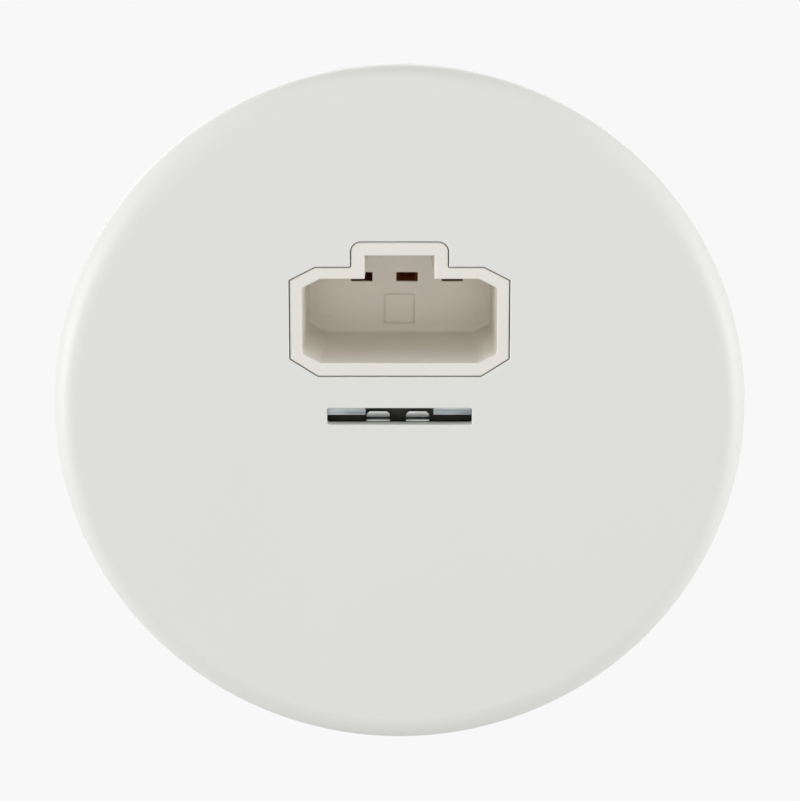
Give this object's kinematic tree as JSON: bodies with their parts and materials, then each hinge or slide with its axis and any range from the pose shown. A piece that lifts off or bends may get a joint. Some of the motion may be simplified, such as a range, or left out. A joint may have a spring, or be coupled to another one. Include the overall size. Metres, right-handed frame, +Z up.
{
  "type": "recessed ceiling light connector",
  "caption": "Round ceiling connector with a keyed plug socket, a steel hook slot with a sprung latch, and push-in wire terminals behind.",
  "frame": {"origin": "centre of the cover's rim, in the ceiling plane that the rim rests against", "axes": "+Z up into the ceiling box; -Y from the hook slot towards the socket's key; +X to the right for someone who looks up at the face with the key at the top"},
  "size_m": [0.107, 0.107, 0.0408],
  "materials": {
    "cover_plastic": "moulded white, fine satin",
    "socket_plastic": "moulded warm white, satin",
    "housing_plastic": "moulded warm white, satin",
    "guard_plastic": "moulded dark grey, matt",
    "button_plastic": "moulded orange",
    "zinc_plated_steel": "bright zinc plating on pressed sheet",
    "latch_steel": "bright stainless spring sheet",
    "pin_steel": "turned steel",
    "spring_steel": "drawn stainless",
    "screw_steel": "zinc plated",
    "contact_bronze": "rolled copper alloy strip"
  },
  "bodies": {
    "base": {"cover_plate": "cover_plastic", "mounting_frame": "zinc_plated_steel", "socket_body": "socket_plastic", "terminal_housing": "housing_plastic", "hook_guard": "guard_plastic", "line_contact": "contact_bronze", "line_clamp_spring": "spring_steel", "earth_contact": "contact_bronze", "earth_clamp_spring": "spring_steel", "neutral_contact": "contact_bronze", "neutral_clamp_spring": "spring_steel", "earth_strap": "contact_bronze", "earth_screw": "screw_steel", "frame_screw_left": "screw_steel", "frame_screw_right": "screw_steel", "housing_screw_left": "screw_steel", "housing_screw_right": "screw_steel", "latch_pin": "pin_steel"},
    "latch": {"hook_latch": "latch_steel", "latch_spring": "spring_steel"},
    "line_button": {"line_release_button": "button_plastic"},
    "earth_button": {"earth_release_button": "button_plastic"},
    "neutral_button": {"neutral_release_button": "button_plastic"}
  },
  "joints": [
    {"name": "hook_latch_hinge", "type": "hinge", "parent": "base", "child": "latch", "pos_m": [0, 0.0082, 0.0032], "axis": [-1, 0, 0], "range_deg": [0, 12], "stiffness_Nm_per_rad": 0.05},
    {"name": "line_button_slide", "type": "slide", "parent": "base", "child": "line_button", "axis": [0, 0, -1], "range_m": [0, 0.0014], "stiffness_N_per_m": 300},
    {"name": "earth_button_slide", "type": "slide", "parent": "base", "child": "earth_button", "axis": [0, 0, -1], "range_m": [0, 0.0014], "stiffness_N_per_m": 300},
    {"name": "neutral_button_slide", "type": "slide", "parent": "base", "child": "neutral_button", "axis": [0, 0, -1], "range_m": [0, 0.0014], "stiffness_N_per_m": 300}
  ]
}
